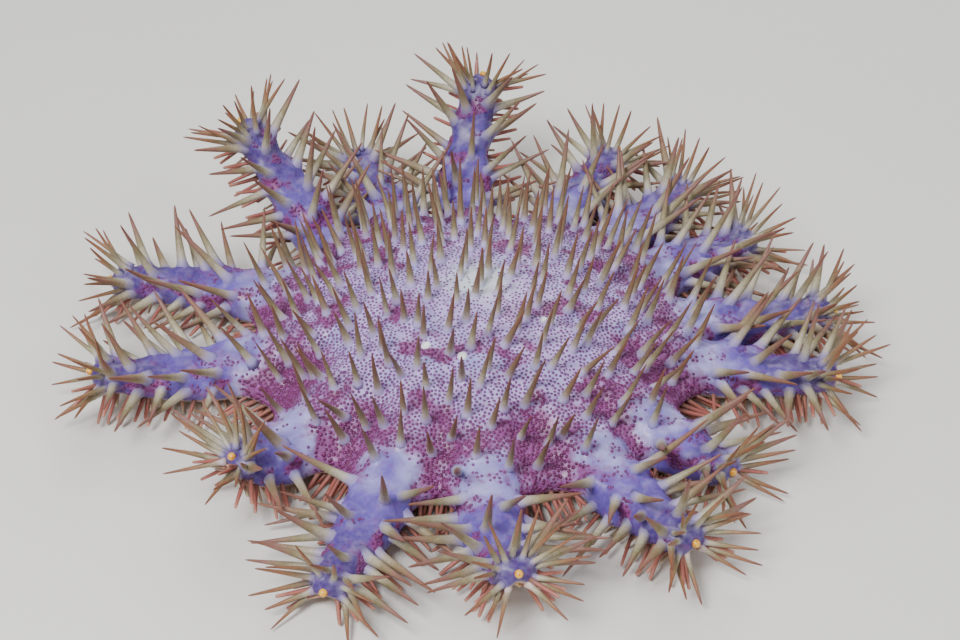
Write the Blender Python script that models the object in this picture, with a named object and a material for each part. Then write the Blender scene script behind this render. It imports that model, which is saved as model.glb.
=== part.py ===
# Crown of thorns starfish at rest: a domed disc and fifteen arms, each with its own spines.
# The origin is on the floor under the middle of the disc; +Z is up.
import bpy
import bmesh
import numpy as np
from mathutils import Vector
from mathutils.bvhtree import BVHTree

MM = 0.001
GAP = 0.3 * MM  # between touching pieces

# Disc
CUT = 49.0 * MM  # distance of the flats that the arms meet
APEX = 23.5 * MM  # top of the dome
MARGIN_Z = 6.5 * MM  # height of the middle of the arm roots
NOTCH_TOP = 9.0 * MM  # rim of the dome between two arms
NOTCH_BOTTOM = 4.0 * MM
SHOULDER = 10.5 * MM  # what the inner dome falls towards, all round
NOTCH_DEPTH = 0.26  # how deep the rim dips between two arms, as a share of that arc
RIM_ROUND = 1.3 * MM
DOME_POWER, DOME_SHAPE = 2.2, 1.15
FLAT_SHARE = 0.42  # radius of the flat underside, as a share of the disc's
DOME_RINGS = (0.2, 0.4, 0.58, 0.74, 0.88)
UNDER_RINGS = (0.8, FLAT_SHARE)

# Arms: azimuth, sweep to the side, pitch at the root and at the tip (degrees), and length
ARMS = (
    (8.5, -5, -5, 15, 28.5 * MM),
    (33, -9, -3, 13, 25 * MM),
    (50, -4, -4, 20, 28 * MM),
    (67, -18, -5, 30, 29 * MM),
    (92, -28, 35, 60, 34 * MM),
    (111, 0, -6, 15, 30 * MM),
    (131, 18, 35, 50, 34.5 * MM),
    (158, 24, -8, 10, 34 * MM),
    (188, 6, -10, 25, 30 * MM),
    (223, -2, -4, 58, 15.5 * MM),
    (250, -2, -13, 10, 28 * MM),
    (274, 15, -11, 42, 29.5 * MM),
    (303, 3, -8, 20, 26.5 * MM),
    (322, -2, -12, 16, 15.5 * MM),
    (352.5, -16, -6, 20, 27 * MM),
)
ROOT_WIDTH, ROOT_HEIGHT = 6.1 * MM, 5.2 * MM  # half sizes where an arm meets the disc
TIP_WIDTH, TIP_HEIGHT = 3.6 * MM, 3.1 * MM  # half sizes before the tip rounds off
TIP_ROUND = 3.6 * MM  # length of the rounded tip
SQUARENESS = 2.7  # 2 is an ellipse
GROOVE_DEPTH, GROOVE_WIDTH = 1.3 * MM, 1.7 * MM  # along the middle of the underside
ROOT_TURN = 0.3  # share of an arm over which its sections turn to face its path
PATH_STEPS = 64
ARM_RINGS = (0.0, 0.15, 0.33, 0.5, 0.67, 0.82, 0.93, 0.985)
ARM_SIDES = 10

# Spines: length and spread of lengths, radius at the root and in the shaft
SPINES = {
    "disc": (10.6 * MM, 0.16, 1.3 * MM, 0.82 * MM),
    "arm": (14.8 * MM, 0.14, 1.4 * MM, 0.86 * MM),
    "tip": (10.0 * MM, 0.12, 0.95 * MM, 0.6 * MM),
    "oral": (6.4 * MM, 0.15, 0.75 * MM, 0.5 * MM),
}
PLAIN = ("tip", "oral")  # small ones, which taper straight from root to tip
SPINE_SIDES = 4
SHAFT_AT = 0.34  # height of the shaft's ring, as a share of the length
SINK = 1.3 * MM  # depth of a root below the skin
DISC_SPINES = 128
DISC_TURN = 0.09  # how far the innermost stray from their even spiral, in radians
DISC_REACH = 0.95  # outermost disc spines, as a share of the radius
GOLDEN = np.pi * (3 - 5**0.5)
RIM_GROWTH = 0.3  # disc spines grow this much longer towards the rim
# Rows on an arm: kind, angle from the top, number, first and last place, lean to the tip (degrees)
ROWS = (
    ("arm", 9, 3, 0.12, 0.80, 30),
    ("arm", 46, 4, 0.06, 0.84, 24),
    ("arm", 82, 4, 0.14, 0.80, 20),
    ("oral", 128, 4, 0.10, 0.85, 12),
)
FULL_LENGTH = 28 * MM  # shorter arms have fewer spines in a row
ROOT_CLEAR = 3.0 * MM  # from an arm's root face to its first spines
ROSETTE_COUNT, ROSETTE_AT, ROSETTE_SPREAD = 8, 0.93, 52  # spines round each tip
RIM_SPACING = 3.4 * MM  # of the small spines under the rim, between two arms
CLEAR = 0.45 * MM  # between a spine and any other node
SEED = 11

# Raised sieve plates on the dome: azimuth, distance from the middle, radius
SIEVES = ((243, 20 * MM, 0.95 * MM), (265, 21.6 * MM, 0.95 * MM), (324, 18 * MM, 0.8 * MM))
SIEVE_RISE = 0.5 * MM

DISC_COLOUR, ARM_COLOUR = (0.50, 0.36, 0.58), (0.30, 0.25, 0.58)
ROUGHNESS = 0.5


def level(t):
    """Goes from 0 to 1 with level ends."""
    t = np.clip(t, 0, 1)
    return t * t * (3 - 2 * t)


def blunt(v):
    return np.sign(v) * np.abs(v) ** (2 / SQUARENESS)


def unit(v):
    return v / np.linalg.norm(v, axis=-1, keepdims=True)


AZIMUTHS = np.radians([arm[0] for arm in ARMS])
HALF_ANGLE = np.arctan(ROOT_WIDTH / CUT)


def rim(theta):
    """Radius of the rim, and the height of its upper and lower edge."""
    theta = np.mod(theta - AZIMUTHS[0], 2 * np.pi) + AZIMUTHS[0]
    after = np.append(AZIMUTHS, AZIMUTHS[0] + 2 * np.pi)
    before = np.clip(np.searchsorted(after, theta, side="right") - 1, 0, len(ARMS) - 1)
    span = after[before + 1] - after[before]
    near = np.minimum(theta - after[before], after[before + 1] - theta)
    offset = CUT * np.tan(np.minimum(near, HALF_ANGLE))
    half = ROOT_HEIGHT * (1 - (offset / (1.06 * ROOT_WIDTH)) ** SQUARENESS) ** (1 / SQUARENESS)
    notch = np.maximum(span / 2 - HALF_ANGLE, 1e-6)
    t = np.clip((near - HALF_ANGLE) / notch, 0, 1)
    dip = NOTCH_DEPTH * 2 * notch * CUT
    radius = CUT / np.cos(np.minimum(near, HALF_ANGLE)) - dip * np.sin(t * np.pi / 2)
    top = MARGIN_Z + half + (NOTCH_TOP - MARGIN_Z - half) * level(t)
    bottom = MARGIN_Z - half + (NOTCH_BOTTOM - MARGIN_Z + half) * level(t)
    return radius, top, bottom, t


def dome(theta, share):
    """A point of the dome, from the middle (share 0) to the rim (share 1)."""
    radius, top, _, t = rim(theta)
    r = (radius - RIM_ROUND * level(t * 3)) * share
    top = SHOULDER + (top - SHOULDER) * level((share - 0.45) / 0.55)
    z = top + (APEX - top) * (1 - share**DOME_POWER) ** DOME_SHAPE
    return np.stack([r * np.cos(theta), r * np.sin(theta), z], -1)


def dome_normal(theta, share):
    d = 0.01
    around = dome(theta + d, share) - dome(theta - d, share)
    outward = dome(theta, np.minimum(share + d, 1)) - dome(theta, share - d)
    return unit(np.cross(outward, around))


def dome_lean(theta, share):
    """The dome's normal, turned about the upright to point straight out from the middle."""
    normal = dome_normal(theta, share)
    out = np.hypot(normal[0], normal[1])
    return np.array([np.cos(theta) * out, np.sin(theta) * out, normal[2]])


def disc_columns():
    """Angles of the disc's columns: three across each flat, one or two between flats."""
    found = []
    for i, azimuth in enumerate(AZIMUTHS):
        found += [azimuth + HALF_ANGLE * k for k in (-1, 0, 1)]
        span = np.mod(AZIMUTHS[(i + 1) % len(ARMS)] - azimuth, 2 * np.pi) - 2 * HALF_ANGLE
        count = 1 if span < 0.12 else 2
        found += [azimuth + HALF_ANGLE + span * (k + 1) / (count + 1) for k in range(count)]
    return np.array(found)


def disc_mesh():
    theta = disc_columns()
    radius, top, bottom, t = rim(theta)
    rounding = RIM_ROUND * level(t * 3)
    rings = [dome(theta, share) for share in DOME_RINGS]

    def ring(r, z):
        return np.stack([r * np.cos(theta), r * np.sin(theta), z + 0 * r], -1)

    rings.append(ring(radius - rounding, top))
    rings.append(ring(radius, (top + bottom) / 2))
    rings.append(ring(radius - rounding, bottom))
    for share in UNDER_RINGS:
        fall = level((share - FLAT_SHARE) / (1 - FLAT_SHARE))
        rings.append(ring(radius * share, bottom * fall))
    return closed_tube(rings, (0, 0, APEX), (0, 0, 0))


def closed_tube(rings, first, last):
    """Vertices and faces of a tube over rings that run the same way, with a point at each end."""
    rings = np.array(rings)
    count, n = rings.shape[:2]
    points = np.concatenate([[first], rings.reshape(-1, 3), [last]])
    faces = []
    for j in range(n):
        k = (j + 1) % n
        faces.append((0, 1 + j, 1 + k))
        faces.append((count * n + 1, (count - 1) * n + 1 + k, (count - 1) * n + 1 + j))
        for i in range(count - 1):
            a, b = i * n + 1, (i + 1) * n + 1
            faces.append((a + j, b + j, b + k, a + k))
    return points, faces


def arm_frame(arm, s):
    """Middle of the arm's section at s, and the section's facing, side and up directions."""
    azimuth, sweep, root_pitch, tip_pitch, length = arm
    u = np.linspace(0, 1, PATH_STEPS + 1)
    yaw = np.radians(azimuth + sweep * u)
    pitch = np.radians(root_pitch + (tip_pitch - root_pitch) * u)
    step = np.stack([np.cos(yaw) * np.cos(pitch), np.sin(yaw) * np.cos(pitch), np.sin(pitch)], -1)
    path = np.zeros((PATH_STEPS + 1, 3))
    path[1:] = np.cumsum((step[1:] + step[:-1]) / 2 * length / PATH_STEPS, 0)
    root = np.radians(azimuth)
    path += ((CUT + GAP) * np.cos(root), (CUT + GAP) * np.sin(root), MARGIN_Z)
    middle = np.stack([np.interp(s, u, path[:, k]) for k in range(3)], -1)
    yaw = np.radians(azimuth + sweep * s)
    pitch = np.radians(root_pitch + (tip_pitch - root_pitch) * s) * level(s / ROOT_TURN)
    flat = 0 * yaw
    facing = np.stack([np.cos(yaw) * np.cos(pitch), np.sin(yaw) * np.cos(pitch), np.sin(pitch)], -1)
    side = np.stack([-np.sin(yaw), np.cos(yaw), flat], -1)
    return middle, facing, side, np.cross(facing, side)


def arm_skin(arm, s, angle):
    """A point of the arm's skin, at the angle from the top of its section, positive to the side."""
    s, angle = np.broadcast_arrays(np.asarray(s, float), angle)
    middle, _, side, up = arm_frame(arm, s)
    taper = level(s * 1.15)
    start = 1 - TIP_ROUND / arm[4]
    closing = np.sqrt(np.clip(1 - (np.maximum(s - start, 0) / (1 - start)) ** 2, 0, 1))
    width = (ROOT_WIDTH + (TIP_WIDTH - ROOT_WIDTH) * taper) * closing
    height = (ROOT_HEIGHT + (TIP_HEIGHT - ROOT_HEIGHT) * taper) * closing
    x = width * blunt(np.sin(angle))
    z = height * blunt(np.cos(angle))
    z = z + GROOVE_DEPTH * closing * np.exp(-((x / GROOVE_WIDTH) ** 2)) * (np.cos(angle) < 0)
    point = middle + x[..., None] * side + z[..., None] * up
    point[..., 2] = np.maximum(point[..., 2], 0)
    return point


def arm_normal(arm, s, angle):
    d = 0.01
    along = arm_skin(arm, s + d, angle) - arm_skin(arm, s - d, angle)
    around = arm_skin(arm, s, angle + d) - arm_skin(arm, s, angle - d)
    return unit(np.cross(along, around))


def arm_mesh(arm):
    angle = np.arange(ARM_SIDES) * 2 * np.pi / ARM_SIDES
    rings = [arm_skin(arm, s, angle) for s in ARM_RINGS]
    root = arm_frame(arm, np.array(0.0))[0]
    tip = arm_skin(arm, 1.0, 0.0)
    return closed_tube(rings[::-1], tip, root)


def mesh_object(name, points, faces, collection):
    mesh = bpy.data.meshes.new(name)
    mesh.from_pydata([tuple(p) for p in np.asarray(points, float)], [], faces)
    solid = bmesh.new()
    solid.from_mesh(mesh)
    bmesh.ops.triangulate(solid, faces=solid.faces)
    bmesh.ops.recalc_face_normals(solid, faces=solid.faces)
    solid.to_mesh(mesh)
    solid.free()
    piece = bpy.data.objects.new(name, mesh)
    collection.objects.link(piece)
    return piece


def tree_of(points, faces):
    return BVHTree.FromPolygons([tuple(p) for p in points], faces)


class Spines:
    """The spines so far, each a root and a tip on a node, kept clear of the other nodes."""

    def __init__(self, bodies):
        self.bodies = {node: tree_of(*mesh) for node, mesh in bodies.items()}
        self.made = []
        self.share = np.linspace(0.05, 1, 9)

    def to_spines(self, points, spines):
        """Distance of each point to each spine's middle line."""
        a = np.array([s["root"] for s in spines])
        d = np.array([s["tip"] for s in spines]) - a
        t = np.einsum("pij,ij->pi", points[:, None] - a, d) / np.einsum("ij,ij->i", d, d)
        t = np.clip(t, 0, 1)
        return np.linalg.norm(points[:, None] - a - t[..., None] * d, axis=-1)

    def is_clear(self, node, root, tip, radius):
        points = root + self.share[:, None] * (tip - root)
        radii = radius * (1.1 - 0.8 * self.share)
        if (points[:, 2] - radii * 0.7).min() < GAP:
            return False
        for other, tree in self.bodies.items():
            need = radii + CLEAR if other != node else np.where(self.share > 0.5, radii + CLEAR, 0)
            for p, r in zip(points, need):
                if r and tree.find_nearest(Vector(p), r)[0] is not None:
                    return False
        others = [s for s in self.made if s["node"] != node]
        if others:
            room = self.to_spines(points, others) - np.array([s["radius"] for s in others])
            if (room - radii[:, None]).min() < CLEAR:
                return False
        own = [s for s in self.made if s["node"] == node]
        if own:
            upper = points[3:]
            if (self.to_spines(upper, own) - radii[3:, None]).min() < 0.9 * MM:
                return False
        return True

    def add(self, node, kind, skin, normal, lean, size):
        """Sets a spine on the skin, turned up or shortened until it is clear, if it can be."""
        length, _, root_radius, shaft = SPINES[kind]
        for scale in (1, 0.86, 0.72, 0.58):
            for turn in (0, 0.25, 0.5, 0.8, 1.2):
                direction = unit(lean + turn * unit(normal + (0, 0, 0.6)))
                tip = skin + direction * length * size * scale
                if self.is_clear(node, skin, tip, shaft):
                    self.made.append(dict(node=node, kind=kind, root=skin, tip=tip, radius=shaft,
                                          wide=root_radius))
                    return


def spine_mesh(spine):
    """A tapered spine: its root ring below the skin, a ring in its shaft and a pointed tip."""
    axis = unit(spine["tip"] - spine["root"])
    length = np.linalg.norm(spine["tip"] - spine["root"])
    across = unit(np.cross(axis, (0.31, 0.87, 0.39)))
    other = np.cross(axis, across)
    turn = np.arange(SPINE_SIDES) * 2 * np.pi / SPINE_SIDES
    ring = np.cos(turn)[:, None] * across + np.sin(turn)[:, None] * other
    root = spine["root"] - SINK * axis
    rings = [spine["root"] + SHAFT_AT * length * axis + spine["radius"] * ring,
             root + spine["wide"] * ring]
    if spine["kind"] in PLAIN:
        del rings[0]
    return closed_tube(rings, spine["tip"], root)


def plan_disc_spines(spines, rng):
    """Spread over the dome on a golden-angle spiral, leaning outwards and longer at the rim."""
    for i in range(DISC_SPINES):
        share = DISC_REACH * np.sqrt((i + 0.6) / DISC_SPINES)
        share = min(share + rng.normal(0, 0.018), DISC_REACH)
        theta = np.array(i * GOLDEN + rng.normal(0, DISC_TURN) / (1 + i) ** 0.5)
        skin, normal = dome(theta, share), dome_lean(theta, share)
        lean = normal + (0, 0, 0.35) + rng.normal(0, 0.08, 3)
        size = (0.85 + RIM_GROWTH * share) * (1 + rng.normal(0, SPINES["disc"][1] / 2))
        spines.add("disc", "disc", skin, normal, unit(lean), size)


def plan_rim_spines(spines, rng):
    """Small spines that fan out and down under the rim, between each two arms."""
    for i, azimuth in enumerate(AZIMUTHS):
        span = np.mod(AZIMUTHS[(i + 1) % len(ARMS)] - azimuth, 2 * np.pi) - 2 * HALF_ANGLE
        count = int(span * CUT / RIM_SPACING)
        for k in range(count):
            theta = azimuth + HALF_ANGLE + span * (k + 0.5) / count
            radius, _, bottom, _ = rim(np.array(theta))
            out = np.array([np.cos(theta), np.sin(theta), 0.0])
            skin = out * (radius - 0.5 * RIM_ROUND) + (0, 0, bottom + 0.5 * MM)
            lean = unit(out + (0, 0, -0.32) + rng.normal(0, 0.08, 3))
            spines.add("disc", "oral", skin, out, lean, 1 + rng.normal(0, 0.08))


def plan_arm_row(spines, rng, node, arm, row):
    """One row along an arm and its twin on the other side, or a staggered row near the top."""
    kind, degrees, count, first, last, tilt = row
    count = max(round(count * min(arm[4] / FULL_LENGTH, 1)), 2)
    for k in range(count):
        for hand in (-1, 1) if degrees > 20 else ((-1) ** k,):
            s = first + (last - first) * (k + 0.25 * (hand > 0)) / (count - 0.75)
            s = np.clip(s + rng.normal(0, 0.02), ROOT_CLEAR / arm[4], 0.9)
            angle = np.array(hand * np.radians(degrees + rng.normal(0, 5)))
            skin, normal = arm_skin(arm, s, angle), arm_normal(arm, s, angle)
            facing = arm_frame(arm, np.array(s))[1]
            lean = normal + np.tan(np.radians(tilt)) * facing + rng.normal(0, 0.12, 3)
            size = (1.06 - 0.22 * s) * (1 + rng.normal(0, SPINES[kind][1] / 2))
            spines.add(node, kind, skin, normal, unit(lean), size)


def plan_rosette(spines, rng, node, arm):
    """A ring of short spines that splay round the tip, open on the underside."""
    _, facing, side, up = arm_frame(arm, np.array(ROSETTE_AT))
    for k in range(ROSETTE_COUNT):
        angle = np.array(np.radians(-140 + 280 * k / (ROSETTE_COUNT - 1) + rng.normal(0, 5)))
        skin = arm_skin(arm, ROSETTE_AT, angle)
        out = np.sin(angle) * side + np.cos(angle) * up
        spread = np.radians(ROSETTE_SPREAD + rng.normal(0, 6))
        lean = np.cos(spread) * facing + np.sin(spread) * out
        spines.add(node, "tip", skin, out, unit(lean), 1 + rng.normal(0, 0.06))


def plan_spines(bodies, arms):
    rng = np.random.default_rng(SEED)
    spines = Spines(bodies)
    plan_disc_spines(spines, rng)
    for node, arm in arms.items():
        plan_rosette(spines, rng, node, arm)
    for row in ROWS:
        for node, arm in arms.items():
            plan_arm_row(spines, rng, node, arm, row)
    plan_rim_spines(spines, rng)
    return spines.made


def sieve_meshes():
    """Low domes with a sunk foot, one for each sieve plate."""
    for azimuth, distance, radius in SIEVES:
        theta = np.array(np.radians(azimuth))
        share = distance / rim(theta)[0]
        skin, normal = dome(theta, share), dome_normal(theta, share)
        across = unit(np.cross(normal, (0, 1, 0)))
        other = np.cross(normal, across)
        turn = np.arange(7) * 2 * np.pi / 7
        ring = np.cos(turn)[:, None] * across + np.sin(turn)[:, None] * other
        rings = [skin + 0.7 * SIEVE_RISE * normal + 0.7 * radius * ring,
                 skin - 2 * SIEVE_RISE * normal + radius * ring]
        yield closed_tube(rings, skin + SIEVE_RISE * normal, skin - 2 * SIEVE_RISE * normal)


def keep_largest(piece):
    """Deletes all but the closed surface with the most faces."""
    solid = bmesh.new()
    solid.from_mesh(piece.data)
    left, islands = set(solid.faces), []
    while left:
        island, edge = set(), [left.pop()]
        while edge:
            face = edge.pop()
            island.add(face)
            for near in {f for e in face.edges for f in e.link_faces} & left:
                left.discard(near)
                edge.append(near)
        islands.append(island)
    islands.sort(key=len)
    extra = [face for island in islands[:-1] for face in island]
    bmesh.ops.delete(solid, geom=extra, context="FACES")
    solid.to_mesh(piece.data)
    solid.free()


def fuse(piece, additions):
    """Joins the piece and the added closed meshes into one body with one union."""
    group = bpy.data.collections.new("additions")
    bpy.context.scene.collection.children.link(group)
    for points, faces in additions:
        mesh_object("addition", points, faces, group)
    union = piece.modifiers.new("union", "BOOLEAN")
    union.operation = "UNION"
    union.operand_type = "COLLECTION"
    union.collection = group
    union.solver = "EXACT"
    fused = bpy.data.meshes.new_from_object(piece.evaluated_get(bpy.context.evaluated_depsgraph_get()))
    piece.modifiers.clear()
    piece.data = fused
    for addition in list(group.objects):
        bpy.data.objects.remove(addition)
    bpy.data.collections.remove(group)
    keep_largest(piece)


def skin_material(name, colour):
    material = bpy.data.materials.new(name)
    material.use_nodes = True
    shader = material.node_tree.nodes["Principled BSDF"]
    shader.inputs["Base Color"].default_value = (*colour, 1)
    shader.inputs["Roughness"].default_value = ROUGHNESS
    shader.inputs["Metallic"].default_value = 0
    return material


def build():
    for old in list(bpy.data.objects):
        bpy.data.objects.remove(old)
    arms = {f"arm_{i + 1:02d}": arm for i, arm in enumerate(ARMS)}
    bodies = {"disc": disc_mesh()}
    bodies.update({node: arm_mesh(arm) for node, arm in arms.items()})
    made = plan_spines(bodies, arms)
    for node, (points, faces) in bodies.items():
        piece = mesh_object(node, points, faces, bpy.context.scene.collection)
        additions = [spine_mesh(spine) for spine in made if spine["node"] == node]
        if node == "disc":
            additions += list(sieve_meshes())
        fuse(piece, additions)
        colour = DISC_COLOUR if node == "disc" else ARM_COLOUR
        piece.data.materials.clear()
        piece.data.materials.append(skin_material(f"{node}_skin", colour))
        piece.data.shade_smooth()
        piece.data.set_sharp_from_angle(angle=np.radians(40))


build()
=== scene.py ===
import bpy
import numpy as np
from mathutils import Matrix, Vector
from mathutils.bvhtree import BVHTree
from mathutils.kdtree import KDTree


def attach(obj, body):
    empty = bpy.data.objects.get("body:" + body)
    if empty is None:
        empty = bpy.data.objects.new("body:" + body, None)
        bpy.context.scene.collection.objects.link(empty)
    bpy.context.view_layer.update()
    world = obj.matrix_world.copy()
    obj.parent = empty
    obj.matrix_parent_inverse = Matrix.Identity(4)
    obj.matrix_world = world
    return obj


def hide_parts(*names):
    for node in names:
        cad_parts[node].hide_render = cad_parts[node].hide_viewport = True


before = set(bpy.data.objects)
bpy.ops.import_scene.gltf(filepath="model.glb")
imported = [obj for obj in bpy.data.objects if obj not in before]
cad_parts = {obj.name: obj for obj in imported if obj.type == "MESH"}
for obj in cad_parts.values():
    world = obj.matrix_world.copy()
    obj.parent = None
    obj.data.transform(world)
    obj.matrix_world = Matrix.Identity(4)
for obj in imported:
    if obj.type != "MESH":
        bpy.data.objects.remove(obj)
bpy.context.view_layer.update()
print("frame loaded")

mm = 0.001
rng = np.random.default_rng(5)

# The body: the same sizes as the solids, so that the skin lies where they are
body = {
    "cut": 49 * mm,  # distance of the arm roots
    "apex": 23.5 * mm,  # height of the dome
    "marginZ": 6.5 * mm,  # height of the middle of an arm's root
    "notchTop": 9 * mm,  # top of the rim between two arms
    "notchBottom": 4 * mm,
    "shoulder": 10.5 * mm,  # level that the dome falls towards, before the rim
    "notchDepth": 0.26,  # as a share of the rim's length between two arms
    "rimRound": 1.3 * mm,
    "domePower": 2.2,
    "domeShape": 1.15,
    "flatShare": 0.42,  # of the radius rests on the floor
    "rootWidth": 6.1 * mm,  # half widths and half heights of the arms
    "rootHeight": 5.2 * mm,
    "tipWidth": 3.6 * mm,
    "tipHeight": 3.1 * mm,
    "tipRound": 3.6 * mm,  # length of the rounded tip
    "squareness": 2.7,
    "rootTurn": 0.3,  # share of an arm over which its sections turn from upright
    "gap": 0.3 * mm,  # between the disc and an arm in the solids
}
# Arms: azimuth, sweep to the side, pitch at the root and at the tip (degrees), length
arms = [
    (8.5, -5, -5, 15, 28.5 * mm),
    (33, -9, -3, 13, 25 * mm),
    (50, -4, -4, 20, 28 * mm),
    (67, -18, -5, 30, 29 * mm),
    (92, -28, 35, 60, 34 * mm),
    (111, 0, -6, 15, 30 * mm),
    (131, 18, 35, 50, 34.5 * mm),
    (158, 24, -8, 10, 34 * mm),
    (188, 6, -10, 25, 30 * mm),
    (223, -2, -4, 58, 15.5 * mm),
    (250, -2, -13, 10, 28 * mm),
    (274, 15, -11, 42, 29.5 * mm),
    (303, 3, -8, 20, 26.5 * mm),
    (322, -2, -12, 16, 15.5 * mm),
    (352.5, -16, -6, 20, 27 * mm),
]
azimuths = np.radians([arm[0] for arm in arms])
halfAngle = np.arctan(body["rootWidth"] / body["cut"])
goldenAngle = np.pi * (3 - 5**0.5)


def level(t):  # 3t^2 - 2t^3, held at 0 and 1 outside
    t = np.clip(t, 0, 1)
    return t * t * (3 - 2 * t)


def unit(v):
    return v / np.linalg.norm(v, axis=-1, keepdims=True)


def direction(yaw, pitch):  # (cos yaw cos pitch, sin yaw cos pitch, sin pitch)
    return np.stack([np.cos(yaw) * np.cos(pitch), np.sin(yaw) * np.cos(pitch), np.sin(pitch)], -1)


def outAndSide(azimuth):  # level directions away from the middle, and anticlockwise round it
    out = np.array([np.cos(azimuth), np.sin(azimuth), 0.0])
    return out, np.array([-out[1], out[0], 0.0])


def fullTurn(count):  # equal angles round a circle
    return np.arange(count) * 2 * np.pi / count


def circles(axis, sides):
    # Unit circles square to the axes: cos(turn) * across + sin(turn) * other
    across = unit(np.cross(axis, (0.31, 0.87, 0.39)))  # a direction that no axis has
    other = np.cross(axis, across)
    turn = fullTurn(sides)[:, None]
    return np.cos(turn) * across[..., None, :] + np.sin(turn) * other[..., None, :]


def inParts(work, points, size=4000):
    # Runs work on a few thousand points at a time, to save memory
    return np.concatenate([work(points[i:i + size]) for i in range(0, len(points), size)])


def soft(points, size, seed, waves=14):
    # Smooth noise, mostly from -1 to 1: the sum of sine waves of like lengths in random
    # directions, over the root of their number
    draw = np.random.default_rng(seed)
    ways = unit(draw.normal(size=(waves, 3))) * 2 * np.pi / size
    ways *= draw.uniform(0.6, 1.5, (waves, 1))
    phases = draw.uniform(0, 2 * np.pi, waves)
    return np.sin(points @ ways.T + phases).sum(-1) / np.sqrt(waves) / 1.2


def rimOf(theta):
    # The rim runs flat across each arm root and dips between two roots as a half sine
    b = body
    theta = np.mod(theta - azimuths[0], 2 * np.pi) + azimuths[0]
    after = np.append(azimuths, azimuths[0] + 2 * np.pi)
    before = np.clip(np.searchsorted(after, theta, side="right") - 1, 0, len(arms) - 1)
    span = after[before + 1] - after[before]
    near = np.minimum(theta - after[before], after[before + 1] - theta)
    offset = b["cut"] * np.tan(np.minimum(near, halfAngle))
    power = b["squareness"]
    half = b["rootHeight"] * (1 - (offset / (1.06 * b["rootWidth"])) ** power) ** (1 / power)
    notch = np.maximum(span / 2 - halfAngle, 1e-6)
    t = np.clip((near - halfAngle) / notch, 0, 1)
    dip = b["notchDepth"] * 2 * notch * b["cut"]
    radius = b["cut"] / np.cos(np.minimum(near, halfAngle)) - dip * np.sin(t * np.pi / 2)
    top = b["marginZ"] + half + (b["notchTop"] - b["marginZ"] - half) * level(t)
    bottom = b["marginZ"] - half + (b["notchBottom"] - b["marginZ"] + half) * level(t)
    return radius, top, bottom, t


def undersideAt(share, bottom):
    # Level on the flat, then rising to the bottom of the rim
    return bottom * level((share - body["flatShare"]) / (1 - body["flatShare"]))


def domePoint(theta, share):
    # z falls from the apex to the rim as (1 - share^2.2)^1.15
    b = body
    radius, top, _, t = rimOf(theta)
    r = (radius - b["rimRound"] * level(t * 3)) * share
    top = b["shoulder"] + (top - b["shoulder"]) * level((share - 0.45) / 0.55)
    z = top + (b["apex"] - top) * (1 - share ** b["domePower"]) ** b["domeShape"]
    return np.stack([r * np.cos(theta), r * np.sin(theta), z], -1)


def domeNormal(theta, share):
    # Square to a small step outwards and one round the dome
    d = 0.01
    around = domePoint(theta + d, share) - domePoint(theta - d, share)
    outward = domePoint(theta, np.minimum(share + d, 1)) - domePoint(theta, np.maximum(share - d, 0))
    return unit(np.cross(outward, around))


def domeLean(theta, share):
    # The dome's normal, turned about the upright to point straight out from the middle
    normal = domeNormal(theta, share)
    out = np.hypot(normal[0], normal[1])
    return np.array([np.cos(theta) * out, np.sin(theta) * out, normal[2]])


def armFrame(arm, s):
    # The middle line adds up steps whose yaw and pitch change evenly from root to tip
    azimuth, sweep, rootPitch, tipPitch, length = arm
    u = np.linspace(0, 1, 65)
    yaw = np.radians(azimuth + sweep * u)
    pitch = np.radians(rootPitch + (tipPitch - rootPitch) * u)
    step = direction(yaw, pitch)
    path = np.zeros((len(u), 3))
    path[1:] = np.cumsum((step[1:] + step[:-1]) / 2 * length * u[1], 0)
    outward = outAndSide(np.radians(azimuth))[0]
    path += outward * (body["cut"] + body["gap"]) + (0, 0, body["marginZ"])
    middle = np.stack([np.interp(s, u, path[:, k]) for k in range(3)], -1)
    middle = middle + (np.minimum(s, 0) * length)[..., None] * outward  # straight on into the disc
    s = np.maximum(s, 0)
    yaw = np.radians(azimuth + sweep * s)
    pitch = np.radians(rootPitch + (tipPitch - rootPitch) * s) * level(s / body["rootTurn"])
    facing = direction(yaw, pitch)
    side = np.stack([-np.sin(yaw), np.cos(yaw), 0 * yaw], -1)
    return middle, facing, side, np.cross(facing, side)


# A groove runs along the underside of each arm to the mouth, a hollow in the middle of the disc
groove = {"depth": 1.5 * mm, "width": 1.5 * mm, "mouthDepth": 3.2 * mm, "mouthWidth": 4.2 * mm}


def armSkin(arm, s, angle):
    # Sections are superellipses that narrow from root to tip and close there as a half ellipse
    b = body
    s, angle = np.broadcast_arrays(np.asarray(s, float), angle)
    middle, _, side, up = armFrame(arm, s)
    taper = level(np.maximum(s, 0) * 1.15)
    start = 1 - b["tipRound"] / arm[4]
    closing = np.sqrt(np.clip(1 - (np.maximum(s - start, 0) / (1 - start)) ** 2, 0, 1))
    width = (b["rootWidth"] + (b["tipWidth"] - b["rootWidth"]) * taper) * closing
    height = (b["rootHeight"] + (b["tipHeight"] - b["rootHeight"]) * taper) * closing
    power = 2 / b["squareness"]
    x = width * np.sign(np.sin(angle)) * np.abs(np.sin(angle)) ** power
    z = height * np.sign(np.cos(angle)) * np.abs(np.cos(angle)) ** power
    z = z + groove["depth"] * closing * np.exp(-((x / groove["width"]) ** 2)) * (np.cos(angle) < 0)
    point = middle + x[..., None] * side + z[..., None] * up
    point[..., 2] = np.maximum(point[..., 2], 0)
    return point


def armNormal(arm, s, angle):
    # Square to a small step along the arm and one round it
    d = 0.01
    along = armSkin(arm, s + d, angle) - armSkin(arm, s - d, angle)
    around = armSkin(arm, s, angle + d) - armSkin(arm, s, angle - d)
    return unit(np.cross(along, around))


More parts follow.
